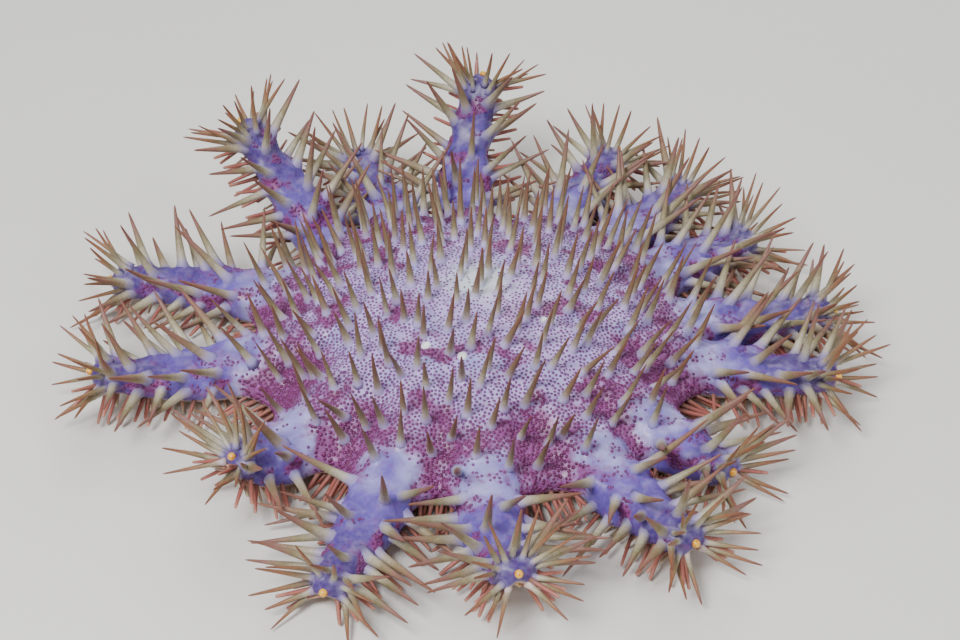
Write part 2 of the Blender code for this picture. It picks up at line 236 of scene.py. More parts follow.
def meshFrom(name, points, quads, triangles=None):
    # Whole arrays go into the mesh: all quads first, then all triangles
    points = np.asarray(points, np.float32).reshape(-1, 3)
    quads = np.asarray(quads, np.int32).reshape(-1, 4)
    triangles = np.zeros((0, 3), np.int32) if triangles is None else np.asarray(triangles, np.int32)
    triangles = triangles.reshape(-1, 3)
    mesh = bpy.data.meshes.new(name)
    mesh.vertices.add(len(points))
    mesh.vertices.foreach_set("co", points.ravel())
    mesh.loops.add(quads.size + triangles.size)
    mesh.loops.foreach_set("vertex_index", np.concatenate([quads.ravel(), triangles.ravel()]))
    starts = np.concatenate([np.arange(len(quads)) * 4, quads.size + np.arange(len(triangles)) * 3])
    mesh.polygons.add(len(quads) + len(triangles))
    mesh.polygons.foreach_set("loop_start", starts.astype(np.int32))
    mesh.update(calc_edges=True)
    mesh.validate()
    mesh.shade_smooth()
    piece = bpy.data.objects.new(name, mesh)
    bpy.context.scene.collection.objects.link(piece)
    return piece


def gridQuads(rings, sides):  # between rings that close on themselves
    i, j = np.meshgrid(np.arange(rings - 1), np.arange(sides), indexing="ij")
    k = (j + 1) % sides
    quads = np.stack([i * sides + j, i * sides + k, (i + 1) * sides + k, (i + 1) * sides + j], -1)
    return quads.reshape(-1, 4)


def tubeFaces(tubes, rings, sides):
    # Quads between the rings of each tube, and fans to its first and last point.
    # A tube's points are stored ring by ring, then its first and its last point
    size = rings * sides + 2
    j = np.arange(sides)
    k = (j + 1) % sides
    first = np.stack([0 * j + size - 2, k, j], -1)
    last = np.stack([0 * j + size - 1, (rings - 1) * sides + j, (rings - 1) * sides + k], -1)
    starts = np.arange(tubes) * size
    quads = gridQuads(rings, sides) + starts[:, None, None]
    fans = np.concatenate([first, last]) + starts[:, None, None]
    return quads, fans


def setAttribute(piece, name, values):
    data = piece.data.attributes.new(name, "FLOAT", "POINT")
    data.data.foreach_set("value", np.asarray(values, np.float32).ravel())


def coordinates(mesh, what="co"):
    source = mesh.vertices if what == "co" else mesh.vertex_normals
    found = np.empty(len(mesh.vertices) * 3, np.float32)
    source.foreach_get("co" if what == "co" else "vector", found)
    return found.reshape(-1, 3).astype(float)


# Spines: where each one stands, its length and its two radii, at the foot and in the shaft
spineKinds = {
    "disc": {"length": 10.3 * mm, "foot": 1.18 * mm, "shaft": 0.74 * mm, "spread": 0.18},
    "arm": {"length": 15.2 * mm, "foot": 1.55 * mm, "shaft": 0.92 * mm, "spread": 0.16},
    "tip": {"length": 10.4 * mm, "foot": 0.85 * mm, "shaft": 0.58 * mm, "spread": 0.14},
    "oral": {"length": 6.8 * mm, "foot": 0.55 * mm, "shaft": 0.45 * mm, "spread": 0.12},
    "groove": {"length": 3.2 * mm, "foot": 0.4 * mm, "shaft": 0.34 * mm, "spread": 0.1},
}
plan = {
    "discCount": 226,
    "reach": 0.96,  # of the disc spines, as a share of the radius
    "rimGrowth": 0.3,  # disc spines grow this much longer towards the rim
    "lift": 0.35,  # a share of upright in each disc spine's lean
    "sway": 0.22,  # to the right, on the front of the dome
    "swayAt": (6 * mm, -18 * mm),
    "swayReach": 24 * mm,
    "clear": 0.2 * mm,  # from the other limbs and their spines
    "rimSpacing": 1.9 * mm,  # of the spines in a tier
    "rimTiers": [  # their lengths, places in from the rim and heights over the skin
        (1, 0.7 * mm, 0.5 * mm),
        (1, 2.3 * mm, 0),
        (0.62, 4.25 * mm, -0.1 * mm),
        (0.5, 6.2 * mm, -0.1 * mm),
        (0.4, 8.15 * mm, -0.1 * mm),
    ],
    "fullLength": 28 * mm,  # shorter arms have fewer spines in a row
}
# Rows on an arm: kind, angle from the top, number, first and last place, lean to the tip (degrees)
rows = [
    ("arm", 12, 3, 0.10, 0.72, 30),  # one row, staggered along the top; the others have twins
    ("arm", 52, 4, 0.04, 0.86, 24),
    ("arm", 86, 5, 0.10, 0.84, 20),
    ("oral", 112, 9, 0.05, 0.93, 14),
    ("oral", 134, 11, 0.02, 0.95, 6),
]
# Spines round each tip, in two tiers: where on the arm, and their splay (degrees)
rosette = {"count": 15, "at": 0.93, "tierStep": 0.05, "spread": 54, "tierSpread": 16}
rosette["reach"] = 2.6  # how far they go round from the top, on each side (radians)
grooveRows = {"perArm": 14, "perDisc": 22, "angle": 156, "apart": 2.1 * mm, "discSize": 0.55}


def treeOf(points):
    # A search tree over a grid of points that closes on itself along its second side
    quads = gridQuads(*points.shape[:2])
    return BVHTree.FromPolygons(points.reshape(-1, 3).tolist(), quads.tolist())


trees = {"disc": treeOf(domePoint(fullTurn(180), np.linspace(0, 1, 20)[:, None]))}
for index, arm in enumerate(arms):
    trees[index] = treeOf(armSkin(arm, np.linspace(0, 1, 24)[:, None], fullTurn(24)))
places = []  # one dictionary for each spine
samples = np.linspace(0.12, 1, 8)


def isClear(owner, root, tip, radius):
    # True where points along the spine, which narrows to its tip, keep off the floor, the other
    # limbs and the spines so far
    points = root + samples[:, None] * (tip - root)
    radii = radius * (1.05 - 0.75 * samples)
    if (points[:, 2] - radii).min() < 0.1 * mm:
        return False
    if owner == "disc":
        near = list(range(len(arms)))
    else:
        near = ["disc", (owner - 1) % len(arms), (owner + 1) % len(arms)]
    for other in near:
        for point, r in zip(points, radii + plan["clear"]):
            if trees[other].find_nearest(Vector(point), r)[0] is not None:
                return False
    others = [p for p in places if p["kind"] in ("disc", "arm", "tip")]
    if not others:
        return True
    a = np.array([p["root"] for p in others])
    d = np.array([p["tip"] for p in others]) - a
    t = np.einsum("pij,ij->pi", points[3:, None] - a, d) / np.einsum("ij,ij->i", d, d)
    gaps = np.linalg.norm(points[3:, None] - a - np.clip(t, 0, 1)[..., None] * d, axis=-1)
    room = gaps - radii[3:, None] - np.array([p["shaft"] for p in others]) * 0.7
    return room.min() > plan["clear"]


def addSpine(owner, kind, skin, normal, lean, size, patch, careful=True):
    # Turned up or shortened until it is clear, and left out where that isn't enough
    values = spineKinds[kind]
    turns = (0, 0.2, 0.4, 0.7, 1.1) if careful else (0,)
    for scale in (1, 0.9, 0.78, 0.64) if careful else (1, 0.8, 0.6):
        for turn in turns:
            way = unit(lean + turn * unit(normal + (0, 0, 0.6)))
            tip = skin + way * values["length"] * size * scale
            if not careful and tip[2] < values["shaft"]:
                continue
            if not careful or isClear(owner, skin, tip, values["shaft"]):
                places.append({
                    "kind": kind, "root": skin, "tip": tip, "normal": normal,
                    "shaft": values["shaft"], "foot": values["foot"], "patch": patch,
                })
                return


def discPatch(theta, share):
    # Unwrap of the dome: the share of the radius, turned by the angle
    return 0.5 + 0.45 * np.stack([share * np.cos(theta), share * np.sin(theta)], -1)


def armPatch(index, s, angle):
    # Unwrap of the arms: fifteen strips in five columns and three rows
    turn = (np.asarray(angle) + np.pi) % (2 * np.pi) / (2 * np.pi)
    u = (index % 5 + 0.06 + 0.88 * turn) / 5
    v = (index // 5 + 0.06 + 0.88 * np.clip(s, 0, 1)) / 3
    return np.stack([u, v + 0 * u], -1)


def vary(kind):  # the length of one spine as a share of its kind's
    return 1 + rng.normal(0, spineKinds[kind]["spread"] / 2)


def planDisc():
    # A golden-angle spiral spreads them evenly; they lean outwards and grow to the rim
    for i in range(plan["discCount"]):
        share = plan["reach"] * np.sqrt((i + 0.6) / plan["discCount"])
        share = min(share + rng.normal(0, 0.02), plan["reach"])
        theta = np.array(i * goldenAngle + rng.normal(0, 0.09) / (1 + i) ** 0.5)
        skin, normal = domePoint(theta, share), domeLean(theta, share)
        away = np.linalg.norm(skin[:2] - plan["swayAt"])
        sway = plan["sway"] * np.exp(-((away / plan["swayReach"]) ** 2))
        lean = unit(normal + (sway, 0, plan["lift"]) + rng.normal(0, 0.08, 3))
        size = (0.85 + plan["rimGrowth"] * share) * vary("disc")
        addSpine("disc", "disc", skin, normal, lean, size, discPatch(theta, share))


def planRim():
    # Small spines in tiers that fan out and down under the rim between two arms, shorter inwards
    for i, azimuth in enumerate(azimuths):
        span = np.mod(azimuths[(i + 1) % len(arms)] - azimuth, 2 * np.pi) - 2 * halfAngle
        for tier, (share, inset, rise) in enumerate(plan["rimTiers"]):
            count = max(int(span * (body["cut"] - 3 * mm * tier) / plan["rimSpacing"]), 1)
            for k in range(count):
                theta = azimuth + halfAngle + span * (k + 0.5 + 0.3 * (tier % 2)) / count
                radius, _, bottom, _ = rimOf(np.array(theta))
                out = outAndSide(theta)[0]
                skin = out * (radius - inset) + (0, 0, undersideAt(1 - inset / radius, bottom) + rise)
                lean = unit(out + (0, 0, -0.3 - 0.08 * tier) + rng.normal(0, 0.1, 3))
                patch = discPatch(theta, 1.04 + 0.015 * tier)
                addSpine("disc", "oral", skin, out, lean, share * vary("oral"), patch, careful=False)


def planRow(index, row):
    # One row and its twin on the other side, or one staggered row along the top
    arm = arms[index]
    kind, degrees, count, first, last, tilt = row
    count = max(round(count * min(arm[4] / plan["fullLength"], 1)), 2)
    for k in range(count):
        for hand in (-1, 1) if degrees > 20 else ((-1) ** k,):
            s = first + (last - first) * (k + 0.25 * (hand > 0)) / (count - 0.75)
            s = np.clip(s + rng.normal(0, 0.015), 0.05, 0.95)
            angle = np.array(hand * np.radians(degrees + rng.normal(0, 4)))
            skin, normal = armSkin(arm, s, angle), armNormal(arm, s, angle)
            facing = armFrame(arm, np.array(s))[1]
            spread = 0.12 if kind == "arm" else 0.08
            lean = unit(normal + np.tan(np.radians(tilt)) * facing + rng.normal(0, spread, 3))
            size = (1.06 - 0.2 * s) * vary(kind)
            addSpine(index, kind, skin, normal, lean, size, armPatch(index, s, angle), kind == "arm")


def planRosette(index):
    # Two tiers of short spines that splay round the tip, open on the underside
    arm = arms[index]
    _, facing, side, up = armFrame(arm, np.array(rosette["at"]))
    for k in range(rosette["count"]):
        tier = k % 2
        turn = rosette["reach"] * (2 * k / (rosette["count"] - 1) - 1)
        angle = np.array(turn + rng.normal(0, 0.07))
        s = rosette["at"] - rosette["tierStep"] * tier
        skin = armSkin(arm, s, angle)
        out = np.sin(angle) * side + np.cos(angle) * up
        spread = np.radians(rosette["spread"] - rosette["tierSpread"] * tier + rng.normal(0, 5))
        lean = unit(np.cos(spread) * facing + np.sin(spread) * out)
        size = (1.0 + 0.12 * tier) * vary("tip")
        addSpine(index, "tip", skin, out, lean, size, armPatch(index, s, angle), careful=False)


def planGroove(index):
    # Short pale spines that edge the groove on both sides
    arm = arms[index]
    for s in np.linspace(0.02, 0.92, grooveRows["perArm"]):
        for hand in (-1, 1):
            angle = np.array(hand * np.radians(grooveRows["angle"]))
            skin, normal = armSkin(arm, s, angle), armNormal(arm, s, angle)
            side = hand * armFrame(arm, np.array(s))[2]
            lean = unit(normal * 0.5 + side + rng.normal(0, 0.1, 3))
            addSpine(index, "groove", skin, normal, lean, vary("groove"), armPatch(index, s, angle),
                     careful=False)
    azimuth = azimuths[index]
    out, side = outAndSide(azimuth)
    # On along the disc, laid over the groove
    for r in np.linspace(8.5 * mm, body["cut"] - 2 * mm, grooveRows["perDisc"]):
        share = r / body["cut"]
        z = undersideAt(share, rimOf(azimuth)[2])
        for hand in (-1, 1):
            skin = r * out + hand * grooveRows["apart"] * side + (0, 0, z + 0.5 * mm)
            lean = unit(-hand * side + 0.6 * out + rng.normal(0, 0.08, 3) * (1, 1, 0))
            patch = discPatch(azimuth + hand * 0.02, 1.12 + 0.1 * share)
            size = grooveRows["discSize"] * vary("groove")
            addSpine("disc", "groove", skin, -out, lean, size, patch, careful=False)


planDisc()
for index in range(len(arms)):
    planRosette(index)
for row in rows:
    for index in range(len(arms)):
        planRow(index, row)
planRim()
for index in range(len(arms)):
    planGroove(index)
print("spines planned:", len(places))

# Skin: one closed surface over the disc and the arms
skinValues = {
    "voxel": 0.65 * mm,
    "smoothing": 7,
    "sink": 0.3 * mm,  # how deep it lies inside the solids
    "discMound": (0.6 * mm, 1.1 * mm),  # height and reach of the swelling under a spine
    "armMound": (1.15 * mm, 2.5 * mm),
    "tipMound": (0.5 * mm, 1.0 * mm),
    "smallMound": (0.2 * mm, 0.6 * mm),
    "paleReach": 0.95 * mm,  # of the pale ring round a spine
    "lumps": (0.2 * mm, 4.5 * mm),  # height and size
}


def closedGrid(rings):
    # Points and faces of one tube over rings, with a point at each end
    rings = np.asarray(rings)
    count, sides = rings.shape[:2]
    points = np.concatenate([rings.reshape(-1, 3), [rings[0].mean(0)], [rings[-1].mean(0)]])
    quads, fans = tubeFaces(1, count, sides)
    return points, quads.reshape(-1, 4), fans.reshape(-1, 3)


def discRings():
    # The dome, a half ellipse round the rim, and the underside with its grooves, whose sections
    # are bell curves; the rings are then handed over from the bottom up
    theta = fullTurn(360)
    radius, top, bottom, t = rimOf(theta)
    rounding = body["rimRound"] * level(t * 3)
    rings = [domePoint(theta, share) for share in np.linspace(0.01, 1, 50)]
    for a in np.radians(np.linspace(75, -75, 9)):
        r = radius - rounding * (1 - np.cos(a))
        z = (top + bottom) / 2 + (top - bottom) / 2 * np.sin(a)
        rings.append(np.stack([r * np.cos(theta), r * np.sin(theta), z], -1))
    for share in np.linspace(0.98, 0.01, 40):
        r = radius * share
        z = undersideAt(share, bottom)
        across = r[:, None] * np.sin(theta[:, None] - azimuths)
        ahead = np.cos(theta[:, None] - azimuths) > 0.5
        cut = np.exp(-((across / groove["width"]) ** 2)) * ahead
        z = np.maximum(z, 0) + groove["depth"] * cut.max(-1) * level((share - 0.12) / 0.1)
        z = z + groove["mouthDepth"] * np.exp(-((r / groove["mouthWidth"]) ** 2))
        rings.append(np.stack([r * np.cos(theta), r * np.sin(theta), z], -1))
    return rings[::-1]


def joined(name, parts):
    # Several closed grids in one mesh
    points, quads, fans, start = [], [], [], 0
    for p, q, f in parts:
        points.append(p)
        quads.append(q + start)
        fans.append(f + start)
        start += len(p)
    return meshFrom(name, np.concatenate(points), np.concatenate(quads), np.concatenate(fans))


def applyModifiers(piece):
    graph = bpy.context.evaluated_depsgraph_get()
    made = bpy.data.meshes.new_from_object(piece.evaluated_get(graph))
    piece.modifiers.clear()
    old = piece.data
    piece.data = made
    bpy.data.meshes.remove(old)


def makeSkin():
    # The disc and the arms, which start inside it, remeshed as one surface and smoothed
    parts = [closedGrid(discRings())]
    for arm in arms:
        inward = -5.5 * mm / arm[4]
        closing = 0.9 + 0.0995 * np.sin(np.linspace(0, np.pi / 2, 14))[1:]
        stations = np.concatenate([np.linspace(inward, 0.9, 60), closing])
        parts.append(closedGrid(armSkin(arm, stations[:, None], -fullTurn(56))))
    skin = joined("skin", parts)
    remesh = skin.modifiers.new("one surface", "REMESH")
    remesh.mode = "VOXEL"
    remesh.voxel_size = skinValues["voxel"]
    remesh.adaptivity = 0
    smooth = skin.modifiers.new("smooth", "SMOOTH")
    smooth.factor = 0.5
    smooth.iterations = skinValues["smoothing"]
    applyModifiers(skin)
    return skin


skin = makeSkin()
skinPoints = coordinates(skin.data)
print("skin faces:", len(skin.data.polygons))

# Markings: sizes, places and strengths of the colours on the skin
markingValues = {
    "padLength": (9 * mm, 5.5 * mm),  # of the pale pad before each arm, and of its soft edge
    "padWidth": (8.2 * mm, 4 * mm),
    "patches": (12 * mm, 5 * mm),  # sizes of the large and the small magenta patches
    "patchStrength": 0.7,
    "margin": (0.6, 0.24),  # the share of the radius where magenta starts, and its soft edge
    "marginOverArms": 0.62,  # its strength before an arm
    "flankPatches": 6.5 * mm,
    "flankStrength": 0.75,
    "violetAtRoot": 0.25,
    "violetToTip": 0.77,
    "crownAt": (1.5 * mm, 1.5 * mm),
    "crownReach": (5 * mm, 12 * mm),  # of the bare spot and of the pale ring round it
}


def whereOnBody(points):
    # For each point: its place s along the nearest arm, and how far it belongs to the arms, which
    # takes in a pad of the dome before each root
    length, width = markingValues["padLength"], markingValues["padWidth"]
    s = np.linspace(0, 1, 31)
    lines = np.stack([armFrame(arm, s)[0] for arm in arms])
    flat = lines.reshape(-1, 3)
    nearest = inParts(lambda part: ((part[:, None] - flat) ** 2).sum(-1).argmin(1), points)
    index = nearest // len(s)
    azimuth = azimuths[index]
    outward = points[:, 0] * np.cos(azimuth) + points[:, 1] * np.sin(azimuth) - body["cut"]
    across = np.abs(points[:, 1] * np.cos(azimuth) - points[:, 0] * np.sin(azimuth))
    pad = level((outward + length[0]) / length[1]) * level((width[0] - across) / width[1])
    return s[nearest % len(s)], np.maximum(level((outward + 3 * mm) / (5 * mm)), pad)


def markings(points, normals):
    # Violet deepens along each arm. Magenta fills the margin between the arms, in lobes, and lies
    # in patches on the dome and on the flanks of the arms. The underside is cream
    v = markingValues
    s, onArm = whereOnBody(points)
    radius, _, _, t = rimOf(np.arctan2(points[:, 1], points[:, 0]))
    share = np.clip(np.hypot(points[:, 0], points[:, 1]) / radius, 0, 1.2)
    noise = soft(points, v["patches"][0], 7) + 0.5 * soft(points, v["patches"][1], 8)
    between = v["marginOverArms"] + (1 - v["marginOverArms"]) * level(t * 2.4)
    margin = level((share - v["margin"][0]) / v["margin"][1]) * between
    margin = margin * (0.6 + 0.4 * level(noise * 0.7 + 0.75))
    patches = v["patchStrength"] * level((noise - 0.05) * 1.1) * level(share * 3 - 0.3)
    flank = level(1.25 - np.abs(normals[:, 2] - 0.4) * 1.6)
    onFlank = flank * level((soft(points, v["flankPatches"], 9) + 0.15) * 1.5) * level(1.25 - s * 0.9)
    blotch = np.maximum(margin, patches) * (1 - onArm) + v["flankStrength"] * onFlank * onArm
    violet = onArm * (v["violetAtRoot"] + v["violetToTip"] * np.clip(s * 1.15, 0, 1) ** 0.8)
    violet = violet + 0.08 * soft(points, 9 * mm, 3)
    away = np.linalg.norm(points[:, :2] - v["crownAt"], axis=-1)
    crown = np.exp(-((away / v["crownReach"][0]) ** 2)) + 0.35 * np.exp(-((away / v["crownReach"][1]) ** 2))
    under = level(-(normals[:, 2] + 0.25) * 2.5)
    found = {"violet": violet, "blotch": blotch, "under": under, "crown": crown * (normals[:, 2] > 0)}
    found = {name: np.clip(value, 0, 1) for name, value in found.items()}
    return {**found, "share": share, "onArm": onArm}


shaderMarks = ("violet", "blotch", "under", "crown")  # what the shaders read


def raiseMounds():
    # Each point rises along its normal by height * exp(-(distance / reach)^2) of its nearest spines
    roots = np.array([p["root"] for p in places])
    small = skinValues["smallMound"]
    values = np.array([skinValues.get(p["kind"] + "Mound", small) for p in places])
    large = values[:, 0] > small[0]
    normals = coordinates(skin.data, "normals")

    def riseAndNear(part):
        squared = ((part[:, None] - roots) ** 2).sum(-1)
        bells = values[:, 0] * np.exp(-squared / values[:, 1] ** 2)
        closest = squared[:, large].min(1)
        return np.stack([(bells**3).sum(1) ** (1 / 3), np.exp(-closest / skinValues["paleReach"] ** 2)], 1)

    rise, near = inParts(riseAndNear, skinPoints).T
    height, size = skinValues["lumps"]
    rise = rise + height * soft(skinPoints, size, 21) * level(normals[:, 2] + 0.6)
    rise -= skinValues["sink"]
    raised = skinPoints + rise[:, None] * normals
    raised[:, 2] = np.maximum(raised[:, 2], 0)
    skin.data.vertices.foreach_set("co", raised.astype(np.float32).ravel())
    skin.data.update()
    marks = markings(skinPoints, normals)
    for name in shaderMarks:
        setAttribute(skin, name, marks[name])
    setAttribute(skin, "mound", near)
    return raised


skinPoints = raiseMounds()
skin.data.shade_smooth()
print("skin shaped")


# Materials
def colour(red, green, blue):  # from screen values of 0 to 255 to linear light
    c = np.array([red, green, blue]) / 255
    linear = np.where(c <= 0.04045, c / 12.92, ((c + 0.055) / 1.055) ** 2.4)
    return (*linear.tolist(), 1)


skinColours = {
    "dome": colour(184, 163, 220),
    "pale": colour(160, 156, 214),
    "periwinkle": colour(98, 78, 172),
    "violet": colour(62, 38, 112),
    "magenta": colour(135, 48, 122),
    "darkMagenta": colour(106, 28, 84),
    "under": colour(206, 176, 146),
    "mound": colour(188, 180, 212),
    "crown": colour(206, 219, 219),
}


class Tree:  # short ways to make and link shader nodes
    def __init__(self, name):
        self.material = bpy.data.materials.new(name)
        self.material.use_nodes = True
        self.nodes = self.material.node_tree.nodes
        self.links = self.material.node_tree.links
        self.shader = self.nodes["Principled BSDF"]

    def put(self, socket, value):
        if isinstance(value, bpy.types.NodeSocket):
            self.links.new(value, socket)
        else:
            socket.default_value = value

    def attribute(self, name):
        node = self.nodes.new("ShaderNodeAttribute")
        node.attribute_name = name
        return node.outputs["Fac"]

    def place(self):
        return self.nodes.new("ShaderNodeTexCoord").outputs["Object"]

    def noise(self, size, detail=3):
        node = self.nodes.new("ShaderNodeTexNoise")
        self.links.new(self.place(), node.inputs["Vector"])
        node.inputs["Scale"].default_value = 1 / size
        node.inputs["Detail"].default_value = detail
        node.inputs["Roughness"].default_value = 0.55
        return node.outputs["Fac"]

    def cells(self, size, feature="F1"):
        node = self.nodes.new("ShaderNodeTexVoronoi")
        node.feature = feature
        self.links.new(self.place(), node.inputs["Vector"])
        node.inputs["Scale"].default_value = 1 / size
        return node.outputs["Distance"]

    def maths(self, operation, a, b):
        node = self.nodes.new("ShaderNodeMath")
        node.operation = operation
        self.put(node.inputs[0], a)
        self.put(node.inputs[1], b)
        return node.outputs[0]

    def fit(self, value, low, high, toLow=0.0, toHigh=1.0):
        node = self.nodes.new("ShaderNodeMapRange")
        self.put(node.inputs["Value"], value)
        for name, number in zip(("From Min", "From Max", "To Min", "To Max"), (low, high, toLow, toHigh)):
            node.inputs[name].default_value = number
        return node.outputs["Result"]

    def mix(self, factor, a, b):
        node = self.nodes.new("ShaderNodeMix")
        node.data_type = "RGBA"
        self.put(node.inputs[0], factor)
        self.put(node.inputs[6], a)
        self.put(node.inputs[7], b)
        return node.outputs[2]

    def ramp(self, value, stops):
        node = self.nodes.new("ShaderNodeValToRGB")
        self.put(node.inputs["Fac"], value)
        steps = node.color_ramp.elements
        for element, (place, shade) in zip([steps[0], steps[1]], (stops[0], stops[-1])):
            element.position, element.color = place, shade
        for place, shade in stops[1:-1]:
            steps.new(place).color = shade
        return node.outputs["Color"]

    def bump(self, height, distance, strength):
        node = self.nodes.new("ShaderNodeBump")
        self.put(node.inputs["Height"], height)
        node.inputs["Distance"].default_value = distance
        node.inputs["Strength"].default_value = strength
        self.links.new(node.outputs["Normal"], self.shader.inputs["Normal"])

    def finish(self, base, roughness, specular, soft=0.0, coat=0.0):
        self.put(self.shader.inputs["Base Color"], base)
        self.put(self.shader.inputs["Roughness"], roughness)
        self.shader.inputs["Specular IOR Level"].default_value = specular
        self.shader.inputs["Coat Weight"].default_value = coat
        self.shader.inputs["Coat Roughness"].default_value = 0.25
        if soft:
            self.shader.inputs["Subsurface Weight"].default_value = soft
            self.shader.inputs["Subsurface Radius"].default_value = (1.0, 0.5, 0.7)
            self.shader.inputs["Subsurface Scale"].default_value = 0.8 * mm
        return self.material


def skinShade(tree):
    # Pinkish lavender on the dome, pale to periwinkle to violet along the arms, magenta in blotches
    c = skinColours
    uneven = tree.fit(tree.noise(6 * mm, 1), 0.3, 0.7, -0.09, 0.09)
    violet = tree.maths("ADD", tree.attribute("violet"), uneven)
    stops = [(0.0, c["dome"]), (0.16, c["pale"]), (0.44, c["periwinkle"]), (1.0, c["violet"])]
    base = tree.ramp(violet, stops)
    speck = tree.fit(tree.noise(1.3 * mm, 2), 0.35, 0.65, -0.18, 0.18)
    strength = tree.maths("ADD", tree.attribute("blotch"), speck)
    pink = tree.mix(tree.fit(tree.noise(2.4 * mm), 0.35, 0.7), c["magenta"], c["darkMagenta"])
    base = tree.mix(tree.fit(strength, 0.05, 0.65, 0, 0.92), base, pink)
    base = tree.mix(tree.fit(tree.attribute("crown"), 0.2, 0.9, 0, 0.8), base, c["crown"])
    return tree.mix(tree.attribute("under"), base, c["under"])


def skinMaterial():
    # The skin's shade, paler round the spines, with fine pimples
    tree = Tree("moistSkin")
    base = skinShade(tree)
    mound = tree.fit(tree.attribute("mound"), 0.1, 0.9, 0, 0.42)
    base = tree.mix(mound, base, skinColours["mound"])
    cell = tree.cells(0.8 * mm, "SMOOTH_F1")
    base = tree.mix(tree.fit(cell, 0.25, 0.75, 0.0, 0.12), base, skinColours["mound"])
    height = tree.maths("ADD", cell, tree.maths("MULTIPLY", tree.noise(0.5 * mm), 0.4))
    tree.bump(height, 0.08 * mm, 0.5)
    rough = tree.fit(tree.noise(1.5 * mm), 0.3, 0.7, 0.38, 0.55)
    return tree.finish(base, rough, 0.45, soft=0.1, coat=0.1)


skin.data.materials.clear()
skin.data.materials.append(skinMaterial())
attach(skin, "root")
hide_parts("disc", *[f"arm_{i + 1:02d}" for i in range(len(arms))])
print("skin ready")

# Spine shapes: the sheath's and the bend's share of the length, and the tip's of the shaft's radius
spineShapes = {
    "disc": {"sheath": 0.16, "tip": 0.12, "power": 1.15, "sides": 7, "bend": 0.05},
    "arm": {"sheath": 0.18, "tip": 0.18, "power": 1.1, "sides": 7, "bend": 0.05},
    "tip": {"sheath": 0.1, "tip": 0.26, "power": 1.25, "sides": 7, "bend": 0.06},
    "oral": {"sheath": 0.08, "tip": 0.7, "power": 1.5, "sides": 6, "bend": 0.05},
    "groove": {"sheath": 0.1, "tip": 0.8, "power": 1.5, "sides": 5, "bend": 0.03},
}


def spineProfile(kind):
    # Foot flares as the square of what is left of the sheath; the shaft tapers and ends rounded
    v = spineShapes[kind]
    sheath = v["sheath"]
    if kind in ("oral", "groove"):
        t = np.array([-0.1, 0.1, 0.5, 0.85, 0.95, 0.99])
    else:
        t = np.array([-0.5 * sheath, 0.15 * sheath, 0.55 * sheath, sheath, 0.36, 0.6, 0.82, 0.94, 0.99])
    flare = np.clip(1 - t / sheath, 0, 1.2) ** 2
    along = np.clip((t - sheath) / (1 - sheath), 0, 1)
    shaft = 1 - (1 - v["tip"]) * along ** v["power"]
    rounding = 1 - np.clip((t - 0.94) / 0.06, 0, 1) ** 2.2 * 0.75
    return t, flare, shaft * rounding


def makeSpines(name, chosen, kind):
    # Rings along an axis that bends as the square of the share of the length
    v = spineShapes[kind]
    t, flare, shaft = spineProfile(kind)
    root = np.array([p["root"] for p in chosen])
    tip = np.array([p["tip"] for p in chosen])
    n, rings, sides = len(chosen), len(t), v["sides"]
    axis = unit(tip - root)
    length = np.linalg.norm(tip - root, axis=-1)
    ring = circles(axis, sides)
    thick = 1 + rng.normal(0, 0.08, n)
    foot = np.array([p["foot"] for p in chosen]) * thick
    radius = np.array([p["shaft"] for p in chosen]) * thick
    way = rng.uniform(0, 2 * np.pi, n)
    across = ring[:, 0]
    bend = np.cos(way)[:, None] * across + np.sin(way)[:, None] * np.cross(axis, across)
    amount = v["bend"] * rng.uniform(0.2, 1, n) * length
    middle = root[:, None] + (t[None] * length[:, None])[..., None] * axis[:, None]
    middle += (amount[:, None] * t[None] ** 2)[..., None] * bend[:, None]
    girth = radius[:, None] * shaft[None] + (foot - radius)[:, None] * flare[None]
    points = middle[:, :, None] + girth[:, :, None, None] * ring[:, None]
    first = middle[:, 0]
    last = root + axis * length[:, None] + amount[:, None] * bend
    points = np.concatenate([points.reshape(n, -1, 3), first[:, None], last[:, None]], 1)
    points[..., 2] = np.maximum(points[..., 2], 0.02 * mm)
    quads, fans = tubeFaces(n, rings, sides)
    piece = meshFrom(name, points, quads, fans)
    along = np.concatenate([np.repeat(t, sides), [t[0], 1.0]])
    setAttribute(piece, "along", np.tile(along, n))
    setAttribute(piece, "vary", np.repeat(rng.uniform(0, 1, n), len(along)))
    setAttribute(piece, "sheath", np.tile(1 - level(along / v["sheath"] / 0.9 - 0.35), n))
    marks = markings(root, np.array([p["normal"] for p in chosen]))
    marks["blotch"] = 0.4 * marks["blotch"]
    for key in shaderMarks:
        setAttribute(piece, key, np.repeat(marks[key], len(along)))
    addPatches(piece, np.array([p["patch"] for p in chosen]), along, sides)
    return piece


def addPatches(piece, patches, along, sides):
    # Each spine or bud is a small patch at its root's place on the unwrap
    half = 0.0015  # of the unwrap's width
    width = np.append(np.tile(np.cos(fullTurn(sides)), (len(along) - 2) // sides), [0, 0])
    u = patches[:, 0, None] + half * (2 * np.clip(along, 0, 1) - 1)
    v = patches[:, 1, None] + half * width
    uv = np.stack([u, v], -1).reshape(-1, 2)
    corners = np.empty(len(piece.data.loops), np.int32)
    piece.data.loops.foreach_get("vertex_index", corners)
    layer = piece.data.uv_layers.new(name="OFBake")
    layer.data.foreach_set("uv", uv[corners].astype(np.float32).ravel())


spineColours = {
    "base": colour(192, 184, 154),
    "olive": colour(140, 128, 94),
    "brown": colour(118, 94, 72),
    "rust": colour(118, 68, 52),
    "mauve": colour(140, 98, 88),
    "salmon": colour(170, 98, 88),
    "salmonTip": colour(192, 134, 116),
    "warm": colour(154, 110, 78),
    "grain": colour(70, 56, 46),
    "orange": colour(146, 98, 68),
}


